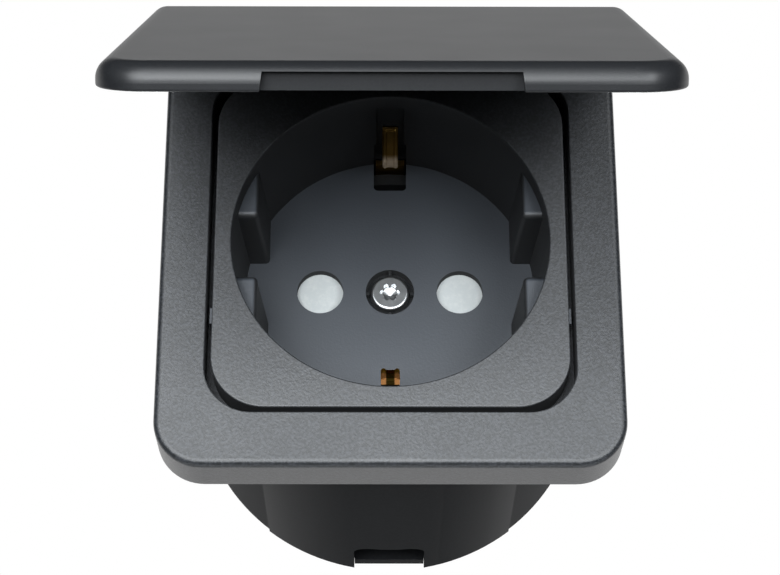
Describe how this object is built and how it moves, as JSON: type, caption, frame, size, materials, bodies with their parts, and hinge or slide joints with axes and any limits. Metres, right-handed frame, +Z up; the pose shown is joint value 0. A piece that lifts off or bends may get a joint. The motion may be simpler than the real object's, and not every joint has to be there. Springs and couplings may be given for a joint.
{
  "type": "wall socket with hinged lid",
  "caption": "Flush wall socket with a square plate, hinged lid, recessed round well with pin holes and side earth clips, turning shutter and a round rear cup.",
  "frame": {"origin": "on the plug axis, in the wall plane at the back of the plate", "axes": "+Z up the wall, +Y into the wall along the plug axis, +X to the right seen from the front"},
  "size_m": [0.0654, 0.1053, 0.0672],
  "materials": {
    "frame_plastic": "fine eroded grain",
    "lid_plastic": "smooth satin",
    "insert_plastic": "fine grain face, satin well",
    "cup_plastic": "plain moulded",
    "base_plastic": "plain moulded",
    "shutter_plastic": "smooth",
    "contact_brass": "stamped, bright",
    "pin_steel": "drawn",
    "screw_zinc": "bright zinc plate"
  },
  "bodies": {
    "socket": {"frame": "frame_plastic", "hinge_pin_left": "pin_steel", "hinge_pin_right": "pin_steel", "socket_insert": "insert_plastic", "centre_screw": "screw_zinc", "shutter_spring": "pin_steel", "earth_strap": "contact_brass", "contact_base": "base_plastic", "live_contact": "contact_brass", "neutral_contact": "contact_brass", "live_terminal": "contact_brass", "neutral_terminal": "contact_brass", "earth_terminal": "contact_brass", "live_terminal_screw": "screw_zinc", "neutral_terminal_screw": "screw_zinc", "earth_terminal_screw": "screw_zinc", "rear_cup": "cup_plastic", "rear_cover": "cup_plastic", "cup_screw_1": "screw_zinc", "cup_screw_2": "screw_zinc", "cup_screw_3": "screw_zinc", "cup_screw_4": "screw_zinc", "cover_screw_left": "screw_zinc", "cover_screw_right": "screw_zinc"},
    "lid": {"lid": "lid_plastic"},
    "shutter": {"shutter": "shutter_plastic"}
  },
  "joints": [
    {"name": "lid_hinge", "type": "hinge", "parent": "socket", "child": "lid", "pos_m": [0, -0.00405, 0.02885], "axis": [-1, 0, 0], "range_deg": [-53.8, 36]},
    {"name": "shutter_turn", "type": "hinge", "parent": "socket", "child": "shutter", "pos_m": [0, 0.013, 0], "axis": [0, 1, 0], "range_deg": [0, 46], "stiffness_Nm_per_rad": 0.002, "springref_deg": -17.19}
  ]
}
